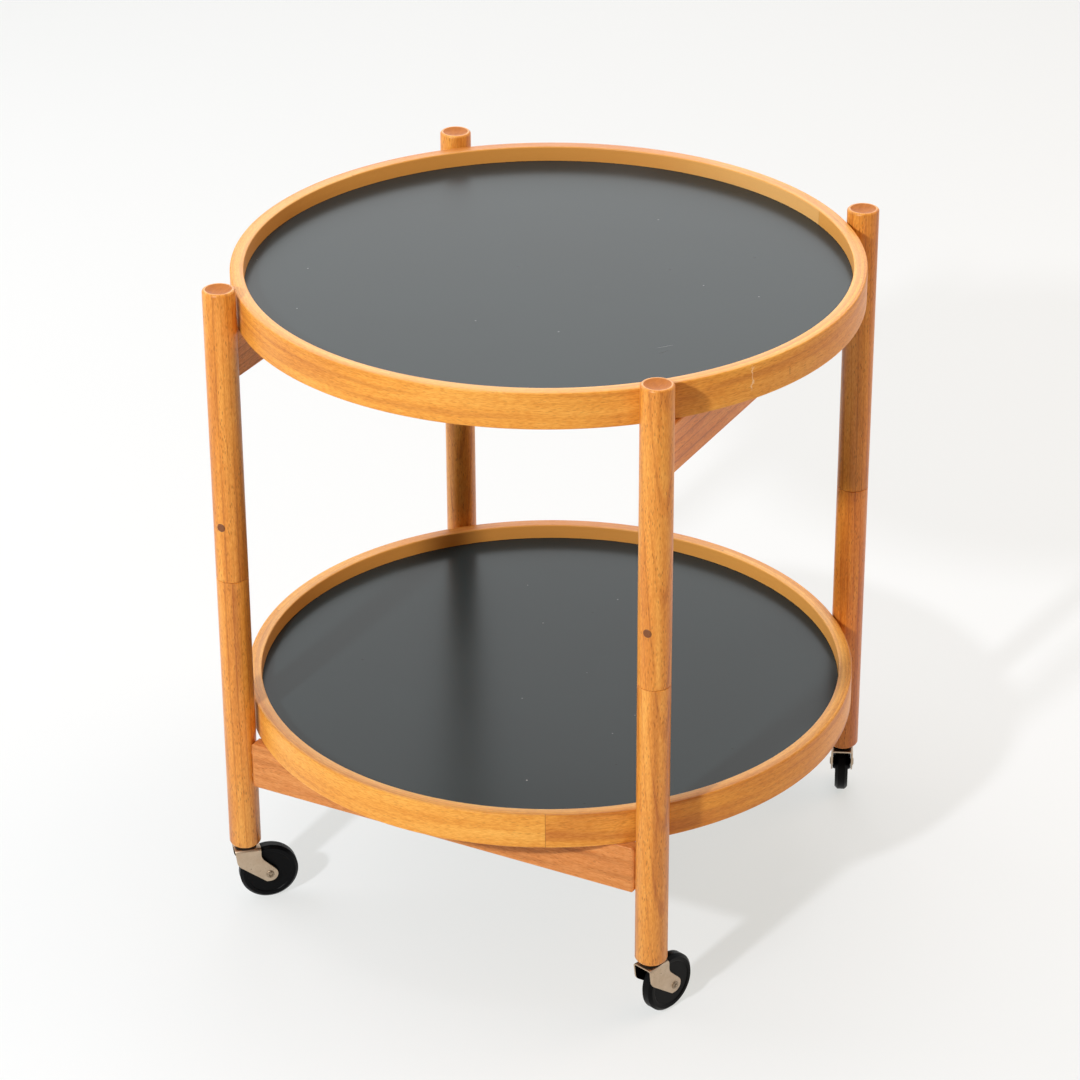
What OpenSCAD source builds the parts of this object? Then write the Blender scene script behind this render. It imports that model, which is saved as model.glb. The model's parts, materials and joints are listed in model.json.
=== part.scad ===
// Folding serving trolley: two round lift-off trays on rails between four
// round beech legs. Each leg is two halves that turn on a hidden dowel at
// mid height, so the frame is a parallelogram that closes once the trays
// are out. X runs along the lower rails, Y along the upper rails, and
// the origin is on the floor under the centre of the trays.

/* [Trays] */
// Outer diameter of each tray
tray_d = 550; // [480:1:620]
// Height of the tray rim
rim_h = 32; // [26:1:40]
// Thickness of the tray rim
rim_w = 12; // [10:0.5:18]
// Rounding of the rim's edges
rim_round = 1.2; // [0.6:0.2:3]
// Thickness of the laminate panel
panel_t = 4.5; // [3:0.5:6]
// Depth of the groove that holds the panel
groove_d = 5; // [3:0.5:6]
// Height of the lower tray's rim above the feet of the legs
lower_rise = 111; // [100:1:150]
// Clearance between a tray and each leg
tray_clear = 2; // [1:0.1:4]
// How far the tray rim lies below the leg tops
tray_drop = 10; // [4:1:30]

/* [Legs] */
// Diameter of the legs
leg_d = 28.5; // [24:0.5:36]
// Length of each leg half
leg_half_h = 274; // [250:1:300]
// Gap between the two halves of a leg
seam_gap = 0.3; // [0.2:0.1:0.6]
// Rounding of the leg's top edge
top_round = 2.2; // [1:0.1:3]
// Depth of the dished leg top
dish_depth = 2.4; // [0.5:0.1:4]
// Width of the flat ring round the dish
dish_ring = 0.4; // [0.2:0.1:1]
// Chamfer at the foot of the leg
foot_chamfer = 2.6; // [1:0.1:4]
// Small chamfer on both edges at the seam
seam_chamfer = 0.6; // [0.3:0.1:1]

/* [Rails] */
// Height of the rails
rail_h = 45; // [36:1:56]
// Thickness of the rails
rail_t = 13; // [10:0.5:16]
// Rounding of the rails' end corners, seen from the side
rail_corner = 5; // [3:0.5:8]
// Rounding of the rails' upright end edges, seen from above
rail_end_round = 4; // [2:0.5:4.5]
// Rounding of the rails' long edges
rail_round = 2; // [1:0.1:3]
// How far a rail's end is let into the leg's curve
rail_seat = 0.4; // [0.2:0.1:1.5]
// Diameter of the dowels that join rail and leg
dowel_d = 8; // [6:0.5:8]
// Depth of a dowel in the leg, from the leg's surface
dowel_in_leg = 16; // [10:1:20]
// Depth of a dowel in the rail
dowel_in_rail = 22; // [14:1:30]
// Distance between the two dowels of a rail end
dowel_pitch = 24; // [16:1:28]
// Glue line round a fixed joint
glue_line = 0.05; // [0.02:0.01:0.1]

/* [Leg pivots] */
// Diameter of the pivot dowel
pivot_d = 14; // [10:0.5:16]
// Depth of the pivot dowel in the lower half
pivot_depth = 70; // [50:1:90]
// Rise of the pivot dowel into the upper half
pivot_rise = 78; // [68:1:90]
// Running clearance round the pivot dowel
pivot_clear = 0.1; // [0.05:0.01:0.1]
// Space above the pivot dowel in its bore
pivot_end_space = 0.8; // [0.3:0.1:2]
// Height of the locking pin above the seam
pin_rise = 54; // [45:1:58]
// Diameter of the locking pin
pin_d = 7.6; // [6:0.1:8]
// Diameter of the locking pin's tip
tip_d = 5; // [4:0.1:5.6]
// Depth of the ring groove in the pivot dowel
ring_depth = 2.4; // [1.5:0.1:3]
// How far the pin's head stands proud of the leg
head_proud = 0.5; // [0.2:0.1:1]
// Clearance between the pin's tip and the groove
tip_clear = 0.3; // [0.2:0.1:0.5]

/* [Casters] */
// Diameter of the wheels
wheel_d = 54; // [44:1:60]
// Width of the wheel's tread
tread_w = 12; // [10:0.5:16]
// Chamfer of the tread's edges
tread_chamfer = 2.2; // [0.5:0.1:2.5]
// Width of the raised band round the wheel's face
band_w = 3.5; // [2:0.5:6]
// Depth of the wheel's face inside the band
face_recess = 0.7; // [0.3:0.1:1.5]
// Diameter of the wheel's hub
hub_d = 15; // [12:0.5:20]
// Distance from the swivel axis to the axle
trail = 20; // [14:1:24]
// Drop from the foot of the leg to the axle
axle_drop = 32; // [30:0.5:40]
// Diameter of the axle rivet
axle_d = 5; // [4:0.5:6]
// Diameter of the rivet's heads
rivet_head_d = 7.4; // [6.4:0.1:9]
// Height of the rivet's heads
rivet_head_h = 1.1; // [0.6:0.1:2]
// Running clearance of wheel and fork on their pins
axle_clear = 0.1; // [0.05:0.01:0.1]
// Side clearance of the hub in the fork
hub_clear = 0.3; // [0.2:0.1:0.5]
// Outer width of the fork
fork_w = 20.5; // [18:0.5:26]
// Thickness of the fork's sheet steel
fork_t = 1.6; // [1.2:0.1:2]
// Outer bend radius of the fork
fork_bend = 2.6; // [2:0.1:4]
// Reach of the fork's top plate ahead of the swivel axis
plate_front = 11.5; // [9:0.5:13]
// Reach of the fork's top plate behind the swivel axis
plate_back = 12.5; // [9:0.5:14]
// Depth of the fork's front edge
cheek_depth = 16; // [12:0.5:20]
// Radius of the fork round the axle
cheek_end_r = 7.3; // [6:0.1:9]
// Slant of the fork's front edge
cheek_slant = 2; // [0:0.5:4]
// Rounding of the fork's lower front corner
cheek_round = 4; // [2:0.5:6]
// Angle of the fork's back edge to the floor
back_angle = 45; // [35:1:55]
// Distance from the axle back to the corner of the fork's lower edge
cheek_toe = 3.5; // [2:0.5:5]
// Radius of the curve at the fork's neck
neck_r = 9; // [5:0.5:12]
// Distance from the foot of the leg to the fork's plate
plate_drop = 3.5; // [2.5:0.1:4.5]
// Running gap above and below the fork's plate
swivel_gap = 0.3; // [0.2:0.1:0.5]
// Diameter of the thrust collar
collar_d = 21; // [16:0.5:24]
// Diameter of the swivel stem
stem_d = 8; // [6:0.5:9]
// Length of the stem inside the leg
stem_h = 38; // [28:1:42]
// Diameter of the stem's riveted end
stem_head_d = 11.4; // [10:0.1:13]
// Height of the stem's riveted end
stem_head_h = 1.4; // [1:0.1:2]
// Chamfer at the top end of the stem
stem_chamfer = 2; // [0.5:0.5:3]
// Wall of the socket sleeve
sleeve_wall = 1.4; // [1:0.1:2]
// Space above the stem in its socket
sleeve_space = 3; // [1:0.5:4]
// Diameter of the sleeve's flange
flange_d = 17; // [14:0.5:20]
// Thickness of the sleeve's flange
flange_t = 1; // [0.6:0.1:1.5]
// Angle of the front left caster at rest
caster_angle_front_left = 42; // [0:1:359]
// Angle of the front right caster at rest
caster_angle_front_right = 73; // [0:1:359]
// Angle of the rear right caster at rest
caster_angle_rear_right = 113; // [0:1:359]
// Angle of the rear left caster at rest
caster_angle_rear_left = 62; // [0:1:359]

/* [Hidden] */
$fn = 128;

// Corners of the trolley, as signs along X and Y
front_left = [-1, -1];
front_right = [1, -1];
rear_right = [1, 1];
rear_left = [-1, 1];

// Allowance that carries a cut past a face
past = 1;
leg_r = leg_d / 2;
tray_r = tray_d / 2;
// Distance of the leg axes from the middle along X and along Y
leg_off = (tray_r + tray_clear + leg_r) / sqrt(2);
foot_z = wheel_d / 2 + axle_drop;
seam_z = foot_z + leg_half_h;
top_z = seam_z + leg_half_h;
upper_tray_z = top_z - tray_drop - rim_h;
lower_tray_z = foot_z + lower_rise;
panel_z = (rim_h - panel_t) / 2;
pivot_r = pivot_d / 2;
ring_r = pivot_r - ring_depth;
sleeve_r = stem_d / 2 + axle_clear + sleeve_wall;
wheel_r = wheel_d / 2;
hub_w = fork_w - 2 * fork_t - 2 * hub_clear;

module at_corner(corner) {
    translate([corner[0] * leg_off, corner[1] * leg_off, 0])
        children();
}

// Puts a caster's own frame under its leg: X along the heading, Z up from the foot
module at_caster(corner, heading) {
    at_corner(corner)
        translate([0, 0, foot_z])
            rotate([0, 0, heading])
                children();
}

// Rectangle with round corners, from its lower left corner
module round_rect(w, h, r) {
    translate([r, 0])
        square([w - 2 * r, h]);
    translate([0, r])
        square([w, h - 2 * r]);
    for (x = [r, w - r], y = [r, h - r])
        translate([x, y])
            circle(r);
}

module tray_rim(z) {
    color("burlywood")
        translate([0, 0, z])
            rotate_extrude()
                difference() {
                    translate([tray_r - rim_w, 0])
                        round_rect(rim_w, rim_h, rim_round);
                    translate([tray_r - rim_w - past, panel_z])
                        square([groove_d + past, panel_t]);
                }
}

// Level floor up to the rim's wall, with a tongue in the groove that leaves a glue line all round
module tray_panel(z) {
    color("dimgray")
        translate([0, 0, z + panel_z]) {
            cylinder(h = panel_t, r = tray_r - rim_w - glue_line);
            translate([0, 0, glue_line])
                cylinder(h = panel_t - 2 * glue_line, r = tray_r - rim_w + groove_d - glue_line);
        }
}

// The upper half has a dished top, the pivot's bore and the locking pin's hole
module upper_leg(corner) {
    dish_r = leg_r - top_round - dish_ring;
    dish_ball_r = (dish_r * dish_r + dish_depth * dish_depth) / (2 * dish_depth);
    color("peru")
        at_corner(corner)
            difference() {
                rotate_extrude()
                    upper_leg_section();
                translate([0, 0, top_z - dish_depth + dish_ball_r])
                    sphere(dish_ball_r);
                translate([0, 0, seam_z])
                    cylinder(h = pivot_rise + pivot_end_space, r = pivot_r + pivot_clear);
                translate([0, 0, seam_z + pin_rise])
                    rotate([-90 * corner[1], 0, 0])
                        cylinder(h = leg_r + past, d = pin_d + 2 * glue_line);
                rail_dowel_holes(corner, [0, corner[1]], upper_tray_z);
            }
}

module upper_leg_section() {
    bottom = seam_z + seam_gap;
    polygon([[0, bottom], [leg_r - seam_chamfer, bottom], [leg_r, bottom + seam_chamfer],
        [leg_r, top_z - top_round], [leg_r - top_round, top_z], [0, top_z]]);
    translate([leg_r - top_round, top_z - top_round])
        circle(top_round);
}

// The lower half has a chamfered foot, the pivot's glued hole and the socket's hole
module lower_leg(corner) {
    color("peru")
        at_corner(corner)
            difference() {
                rotate_extrude()
                    polygon([[0, foot_z], [leg_r - foot_chamfer, foot_z],
                        [leg_r, foot_z + foot_chamfer], [leg_r, seam_z - seam_chamfer],
                        [leg_r - seam_chamfer, seam_z], [0, seam_z]]);
                translate([0, 0, seam_z - pivot_depth])
                    cylinder(h = pivot_depth + past, r = pivot_r + glue_line);
                translate([0, 0, foot_z - past])
                    cylinder(h = stem_h + sleeve_space + past, r = sleeve_r + glue_line);
                translate([0, 0, foot_z - past])
                    cylinder(h = flange_t + past, d = flange_d + 2 * glue_line);
                rail_dowel_holes(corner, [corner[0], 0], lower_tray_z);
            }
}

// Heights of the two dowels of a rail whose top lies at rail_top
function dowel_levels(rail_top) =
    [rail_top - (rail_h + dowel_pitch) / 2, rail_top - (rail_h - dowel_pitch) / 2];

// Holes in a leg for a rail that leaves the leg against the direction away
module rail_dowel_holes(corner, away, rail_top) {
    for (z = dowel_levels(rail_top))
        translate([0, 0, z])
            rotate([away[1] * 90, -away[0] * 90, 0])
                translate([0, 0, leg_r - dowel_in_leg])
                    cylinder(h = dowel_in_leg + past, d = dowel_d + 2 * glue_line);
}

// Rail along X between two legs, with its top at z = 0 and its ends let into the legs' curve
module rail_bar() {
    length = 2 * (leg_off - leg_r + rail_seat);
    difference() {
        intersection() {
            translate([-length / 2, rail_t / 2, -rail_h])
                rotate([90, 0, 0])
                    linear_extrude(rail_t)
                        round_rect(length, rail_h, rail_corner);
            translate([-length / 2, -rail_t / 2, -rail_h])
                rotate([90, 0, 90])
                    linear_extrude(length)
                        round_rect(rail_t, rail_h, rail_round);
            translate([-length / 2, -rail_t / 2, -rail_h])
                linear_extrude(rail_h)
                    round_rect(length, rail_t, rail_end_round);
        }
        for (x = [-leg_off, leg_off])
            translate([x, 0, -rail_h - past])
                cylinder(h = rail_h + 2 * past, r = leg_r + glue_line);
        rail_dowels(0, 2 * glue_line);
    }
}

// The four dowels of a rail along X, with the rail's top at z = 0
module rail_dowels(inset, extra_d) {
    span = dowel_in_leg + dowel_in_rail - 2 * inset;
    for (side = [-1, 1], z = dowel_levels(0))
        translate([side * (leg_off - leg_r + dowel_in_leg - inset), 0, z])
            rotate([0, -side * 90, 0])
                cylinder(h = span, d = dowel_d + extra_d);
}

module upper_rail(side) {
    color("sienna")
        translate([side * leg_off, 0, upper_tray_z])
            rotate([0, 0, 90])
                rail_bar();
}

module lower_rail(side) {
    color("sienna")
        translate([0, side * leg_off, lower_tray_z])
            rail_bar();
}

module upper_rail_dowels(side) {
    color("tan")
        translate([side * leg_off, 0, upper_tray_z])
            rotate([0, 0, 90])
                rail_dowels(glue_line, 0);
}

module lower_rail_dowels(side) {
    color("tan")
        translate([0, side * leg_off, lower_tray_z])
            rail_dowels(glue_line, 0);
}

// Dowel glued in the lower half, with a ring groove that the locking pin runs in
module pivot_dowel(corner) {
    groove_h = tip_d + 2 * tip_clear;
    color("tan")
        at_corner(corner)
            difference() {
                translate([0, 0, seam_z - pivot_depth + glue_line])
                    cylinder(h = pivot_depth + pivot_rise - glue_line, r = pivot_r);
                translate([0, 0, seam_z + pin_rise - groove_h / 2])
                    difference() {
                        cylinder(h = groove_h, r = pivot_r + past);
                        cylinder(h = groove_h, r = ring_r);
                    }
            }
}

// Pin driven in from the outer side; its tip runs in the pivot's groove
module locking_pin(corner) {
    shank_in = pivot_r + pivot_clear + tip_clear;
    head_ball_r = (pin_d * pin_d / 4 + head_proud * head_proud) / (2 * head_proud);
    color("saddlebrown")
        at_corner(corner)
            translate([0, 0, seam_z + pin_rise])
                rotate([-90 * corner[1], 0, 0]) {
                    translate([0, 0, ring_r + tip_clear])
                        cylinder(h = leg_r - ring_r - tip_clear, d = tip_d);
                    intersection() {
                        translate([0, 0, shank_in])
                            cylinder(h = leg_r + head_proud - shank_in, d = pin_d);
                        translate([0, 0, leg_r + head_proud - head_ball_r])
                            sphere(head_ball_r);
                    }
                }
}

// Steel sleeve pressed into the foot of the leg
module socket(corner) {
    color("gray")
        at_corner(corner)
            translate([0, 0, foot_z])
                difference() {
                    union() {
                        cylinder(h = stem_h + sleeve_space, r = sleeve_r);
                        cylinder(h = flange_t, d = flange_d);
                    }
                    translate([0, 0, -past])
                        cylinder(h = stem_h + sleeve_space + 2 * past, d = stem_d + 2 * glue_line);
                }
}

// Stem held in the socket, with its riveted end under the fork's plate
module stem(corner) {
    head_top = plate_drop + fork_t + swivel_gap;
    head_low = head_top + stem_head_h;
    head_edge = stem_head_h / 2;
    head_r = stem_head_d / 2;
    r = stem_d / 2;
    color("silver")
        at_corner(corner)
            translate([0, 0, foot_z])
                rotate_extrude()
                    polygon([[0, -head_low], [head_r - head_edge, -head_low],
                        [head_r, -head_low + head_edge], [head_r, -head_top], [r, -head_top],
                        [r, stem_h - stem_chamfer], [r - stem_chamfer, stem_h], [0, stem_h]]);
}

module collar(corner) {
    color("black")
        at_corner(corner)
            translate([0, 0, foot_z - plate_drop + swivel_gap])
                difference() {
                    cylinder(h = plate_drop - swivel_gap, d = collar_d);
                    translate([0, 0, -past])
                        cylinder(h = plate_drop + 2 * past, d = stem_d + 2 * glue_line);
                }
}

// Outline of the fork's cheek, X along the heading and Y up from the foot of the leg
module cheek_outline() {
    // The back edge drops from the plate, curves round the neck and slants down to the round end
    end_top = [trail, -axle_drop] + cheek_end_r * [sin(back_angle), cos(back_angle)];
    corner = [plate_back, end_top[1] + (end_top[0] - plate_back) * tan(back_angle)];
    tangent = neck_r * tan((90 - back_angle) / 2);
    neck_centre = corner + [neck_r, tangent];
    neck_end = corner + tangent * [cos(back_angle), -sin(back_angle)];
    // The front edge meets the lower edge in a rounded corner
    front_top = [-plate_front, -plate_drop];
    front_low = [cheek_slant - plate_front, -plate_drop - cheek_depth];
    toe = [trail - cheek_toe, -axle_drop - cheek_end_r];
    up = (front_top - front_low) / norm(front_top - front_low);
    along = (toe - front_low) / norm(toe - front_low);
    half_angle = acos(up * along) / 2;
    start = cheek_round / tan(half_angle);
    round_centre = front_low + (up + along) / norm(up + along) * cheek_round / sin(half_angle);
    difference() {
        union() {
            polygon([front_top, front_low + start * up, round_centre, front_low + start * along,
                toe, [trail, -axle_drop - cheek_end_r], [trail, -axle_drop], end_top, neck_end,
                neck_centre, corner + [0, tangent], [plate_back, -plate_drop]]);
            translate([trail, -axle_drop])
                circle(cheek_end_r);
            translate(round_centre)
                circle(cheek_round);
        }
        translate(neck_centre)
            circle(neck_r);
    }
}

module fork(corner, heading) {
    color("tan")
        at_caster(corner, heading)
            difference() {
                intersection() {
                    rotate([90, 0, 0])
                        translate([0, 0, -fork_w / 2])
                            linear_extrude(fork_w)
                                cheek_outline();
                    fork_channel();
                }
                translate([0, 0, -plate_drop - fork_t - past])
                    cylinder(h = fork_t + 2 * past, r = stem_d / 2 + axle_clear);
                translate([trail, fork_w / 2 + past, -axle_drop])
                    rotate([90, 0, 0])
                        cylinder(h = fork_w + 2 * past, d = axle_d + 2 * glue_line);
            }
}

// Bent sheet along X: a top plate and two cheeks
module fork_channel() {
    depth = axle_drop + cheek_end_r + past;
    reach = plate_front + trail + cheek_end_r + past;
    translate([-plate_front - past, 0, 0])
        rotate([90, 0, 90])
            linear_extrude(reach + past)
                difference() {
                    translate([-fork_w / 2, -plate_drop - depth])
                        round_rect(fork_w, depth, fork_bend);
                    translate([-fork_w / 2 + fork_t, -plate_drop - fork_t - depth - past])
                        round_rect(fork_w - 2 * fork_t, depth + past, fork_bend - fork_t);
                }
}

module axle(corner, heading) {
    ball_r = (rivet_head_d * rivet_head_d / 4 + rivet_head_h * rivet_head_h) / (2 * rivet_head_h);
    color("silver")
        at_caster(corner, heading)
            translate([trail, 0, -axle_drop])
                rotate([90, 0, 0]) {
                    translate([0, 0, -fork_w / 2])
                        cylinder(h = fork_w, d = axle_d);
                    for (side = [0, 1])
                        mirror([0, 0, side])
                            intersection() {
                                translate([0, 0, fork_w / 2])
                                    cylinder(h = rivet_head_h, d = rivet_head_d);
                                translate([0, 0, fork_w / 2 + rivet_head_h - ball_r])
                                    sphere(ball_r);
                            }
                }
}

module wheel(corner, heading) {
    half = tread_w / 2;
    face = half - face_recess;
    edge_r = wheel_r - tread_chamfer;
    band_r = edge_r - band_w;
    color("black")
        at_caster(corner, heading)
            translate([trail, 0, -axle_drop])
                rotate([90, 0, 0])
                    rotate_extrude()
                        difference() {
                            union() {
                                polygon([[0, -face], [band_r - face_recess, -face], [band_r, -half],
                                    [edge_r, -half], [wheel_r, -half + tread_chamfer],
                                    [wheel_r, half - tread_chamfer], [edge_r, half], [band_r, half],
                                    [band_r - face_recess, face], [0, face]]);
                                translate([0, -hub_w / 2])
                                    square([hub_d / 2, hub_w]);
                            }
                            translate([-past, -hub_w])
                                square([axle_d / 2 + axle_clear + past, 2 * hub_w]);
                        }
}

tray_rim(upper_tray_z);  // upper_tray_rim
tray_panel(upper_tray_z);  // upper_tray_panel
tray_rim(lower_tray_z);  // lower_tray_rim
tray_panel(lower_tray_z);  // lower_tray_panel
upper_leg(front_left);  // upper_leg_front_left
upper_leg(front_right);  // upper_leg_front_right
upper_leg(rear_right);  // upper_leg_rear_right
upper_leg(rear_left);  // upper_leg_rear_left
lower_leg(front_left);  // lower_leg_front_left
lower_leg(front_right);  // lower_leg_front_right
lower_leg(rear_right);  // lower_leg_rear_right
lower_leg(rear_left);  // lower_leg_rear_left
upper_rail(-1);  // left_rail
upper_rail(1);  // right_rail
lower_rail(-1);  // front_rail
lower_rail(1);  // rear_rail
upper_rail_dowels(-1);  // left_rail_dowels
upper_rail_dowels(1);  // right_rail_dowels
lower_rail_dowels(-1);  // front_rail_dowels
lower_rail_dowels(1);  // rear_rail_dowels
pivot_dowel(front_left);  // pivot_dowel_front_left
pivot_dowel(front_right);  // pivot_dowel_front_right
pivot_dowel(rear_right);  // pivot_dowel_rear_right
pivot_dowel(rear_left);  // pivot_dowel_rear_left
locking_pin(front_left);  // locking_pin_front_left
locking_pin(front_right);  // locking_pin_front_right
locking_pin(rear_right);  // locking_pin_rear_right
locking_pin(rear_left);  // locking_pin_rear_left
socket(front_left);  // socket_front_left
socket(front_right);  // socket_front_right
socket(rear_right);  // socket_rear_right
socket(rear_left);  // socket_rear_left
stem(front_left);  // stem_front_left
stem(front_right);  // stem_front_right
stem(rear_right);  // stem_rear_right
stem(rear_left);  // stem_rear_left
collar(front_left);  // collar_front_left
collar(front_right);  // collar_front_right
collar(rear_right);  // collar_rear_right
collar(rear_left);  // collar_rear_left
fork(front_left, caster_angle_front_left);  // fork_front_left
fork(front_right, caster_angle_front_right);  // fork_front_right
fork(rear_right, caster_angle_rear_right);  // fork_rear_right
fork(rear_left, caster_angle_rear_left);  // fork_rear_left
axle(front_left, caster_angle_front_left);  // axle_front_left
axle(front_right, caster_angle_front_right);  // axle_front_right
axle(rear_right, caster_angle_rear_right);  // axle_rear_right
axle(rear_left, caster_angle_rear_left);  // axle_rear_left
wheel(front_left, caster_angle_front_left);  // wheel_front_left
wheel(front_right, caster_angle_front_right);  // wheel_front_right
wheel(rear_right, caster_angle_rear_right);  // wheel_rear_right
wheel(rear_left, caster_angle_rear_left);  // wheel_rear_left
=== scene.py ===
"""Looks of the folding serving trolley: oiled beech, dark laminate, zinc-plated casters."""

import json
import logging
import math
from dataclasses import dataclass, replace
from enum import Enum
from typing import Callable, Iterable, Sequence

import bmesh
import bpy
from mathutils import Matrix, Vector

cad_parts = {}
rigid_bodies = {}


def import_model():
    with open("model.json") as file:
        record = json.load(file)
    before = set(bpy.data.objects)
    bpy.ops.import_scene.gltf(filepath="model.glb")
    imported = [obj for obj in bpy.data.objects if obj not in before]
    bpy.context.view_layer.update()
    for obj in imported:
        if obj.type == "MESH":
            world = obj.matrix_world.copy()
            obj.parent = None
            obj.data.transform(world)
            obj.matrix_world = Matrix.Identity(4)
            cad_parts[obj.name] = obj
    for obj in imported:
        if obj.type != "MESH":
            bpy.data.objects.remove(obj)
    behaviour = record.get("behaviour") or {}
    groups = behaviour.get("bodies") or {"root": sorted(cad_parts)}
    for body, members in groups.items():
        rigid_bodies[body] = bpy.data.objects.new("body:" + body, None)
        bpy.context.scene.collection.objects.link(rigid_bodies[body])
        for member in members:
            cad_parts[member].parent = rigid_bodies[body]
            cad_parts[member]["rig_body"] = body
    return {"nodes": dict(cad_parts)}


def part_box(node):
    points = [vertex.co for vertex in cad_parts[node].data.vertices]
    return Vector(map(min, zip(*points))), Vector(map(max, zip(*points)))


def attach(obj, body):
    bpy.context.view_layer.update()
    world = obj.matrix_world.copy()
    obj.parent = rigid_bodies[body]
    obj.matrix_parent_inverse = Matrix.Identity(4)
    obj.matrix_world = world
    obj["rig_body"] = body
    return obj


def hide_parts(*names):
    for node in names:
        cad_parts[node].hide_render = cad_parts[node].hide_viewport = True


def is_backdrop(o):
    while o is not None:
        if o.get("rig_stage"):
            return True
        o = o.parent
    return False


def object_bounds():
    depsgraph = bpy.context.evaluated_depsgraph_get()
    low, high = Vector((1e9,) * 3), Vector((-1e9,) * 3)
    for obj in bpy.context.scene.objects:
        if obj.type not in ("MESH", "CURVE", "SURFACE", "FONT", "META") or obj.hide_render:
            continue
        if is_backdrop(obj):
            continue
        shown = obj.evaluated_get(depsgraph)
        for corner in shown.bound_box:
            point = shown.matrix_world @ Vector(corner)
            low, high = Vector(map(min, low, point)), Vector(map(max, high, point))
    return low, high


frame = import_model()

log = logging.getLogger("trolley")

MM = 0.001
UP = Vector((0, 0, 1))
CORNERS = ("front_left", "front_right", "rear_right", "rear_left")
# A Mix node that mixes colours has its inputs by number: those for plain numbers have the same names
FACTOR, A, B = 0, 6, 7
COLOUR_MIX = {"out": 2, "data_type": "RGBA"}
SMOOTH = {"interpolation_type": "SMOOTHSTEP"}
# Rings of a Wave texture of scale 1 lie this far apart
WAVE_PERIOD = math.tau / 20
SMOOTH_ANGLE = math.radians(32)
INSIDE = "inside"

Pair = tuple[float, float]
Outline = list[Pair]
Triple = tuple[float, float, float]
Tree, Socket, Node = bpy.types.NodeTree, bpy.types.NodeSocket, bpy.types.Node
Piece, Material = bpy.types.Object, bpy.types.Material


class Grain(Enum):
    """Way in which the wood's fibres run: the order of the axes, from along them to across."""

    ALONG_X = "XYZ"
    ALONG_Y = "YXZ"
    ALONG_Z = "ZXY"
    ROUND_HOOP = "hoop"


def linear(hex_colour: str) -> tuple[float, float, float, float]:
    """Turns an sRGB colour into the linear one that shaders take.

    Args:
        hex_colour: Six hexadecimal digits after a hash.

    Returns:
        Linear red, green, blue and an alpha of 1.
    """
    parts = [int(hex_colour[i : i + 2], 16) / 255 for i in (1, 3, 5)]
    return (*(c / 12.92 if c <= 0.04045 else ((c + 0.055) / 1.055) ** 2.4 for c in parts), 1.0)


def feed(node: Node, inputs: tuple | dict) -> None:
    """Sets or links a node's inputs.

    Args:
        node: The node.
        inputs: Value or output socket for each input, in their order or by name or number.
    """
    for socket, value in inputs.items() if isinstance(inputs, dict) else enumerate(inputs):
        if isinstance(value, Socket):
            node.id_data.links.new(value, node.inputs[socket])
        else:
            node.inputs[socket].default_value = value


def add(tree: Tree, kind: str, inputs: tuple | dict = (), out: int | str = 0, **settings) -> Socket:
    """Adds a node with its settings, values and links.

    Args:
        tree: Node tree that takes the node.
        kind: Blender's name of the node's type, after ShaderNode, and of its operation if it has one.
        inputs: Value or output socket for each input, in their order or by name or number.
        out: Name or number of the output that is wanted.
        **settings: Attributes of the node.

    Returns:
        That output, from which .node is the new node.
    """
    kind, _, operation = kind.partition(" ")
    made = tree.nodes.new("ShaderNode" + kind)
    if operation:
        made.operation = operation
    for name, value in settings.items():
        setattr(made, name, value)
    feed(made, inputs)
    return made.outputs[out]


def new_material(name: str) -> tuple[Material, Tree, Node]:
    """Makes an empty material.

    Args:
        name: Name of the finish.

    Returns:
        The material, its node tree and its Principled shader.
    """
    material = bpy.data.materials.new(name)
    material.use_nodes = True
    return material, material.node_tree, material.node_tree.nodes["Principled BSDF"]


@dataclass(frozen=True)
class Mark:
    """Single mark of use: a thin line about its own middle, drawn over the colour."""

    place: Triple
    turn: float
    half_size: Triple
    colour: str
    strength: float
    wander: float = 0.0

    def over(self, tree: Tree, colour: Socket) -> Socket:
        """Draws the mark.

        Args:
            tree: Node tree of the material.
            colour: Colour without the mark.

        Returns:
            The colour with the mark in it.
        """
        place = add(tree, "TexCoord", out="Object")
        centred = add(tree, "VectorMath SUBTRACT", (place, self.place))
        own = add(tree, "VectorRotate", {"Vector": centred, "Angle": -self.turn}, rotation_type="Z_AXIS")
        noise = add(tree, "TexNoise", {"Vector": own, "Scale": 160.0, "Detail": 3.0}, "Color")
        shaken = add(tree, "VectorMath SUBTRACT", (noise, (0.5, 0.5, 0.5)))
        moved = add(tree, "VectorMath MULTIPLY_ADD", (shaken, (0, self.wander, 0), own))
        size = tuple(1 / half for half in self.half_size)
        scaled = add(tree, "VectorMath MULTIPLY", (moved, size))
        reach = add(tree, "VectorMath LENGTH", (scaled,), "Value")
        amount = add(tree, "MapRange", (reach, 0.6, 1.0, self.strength, 0.0))
        return add(tree, "Mix", {FACTOR: amount, A: colour, B: linear(self.colour)}, **COLOUR_MIX)


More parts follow.
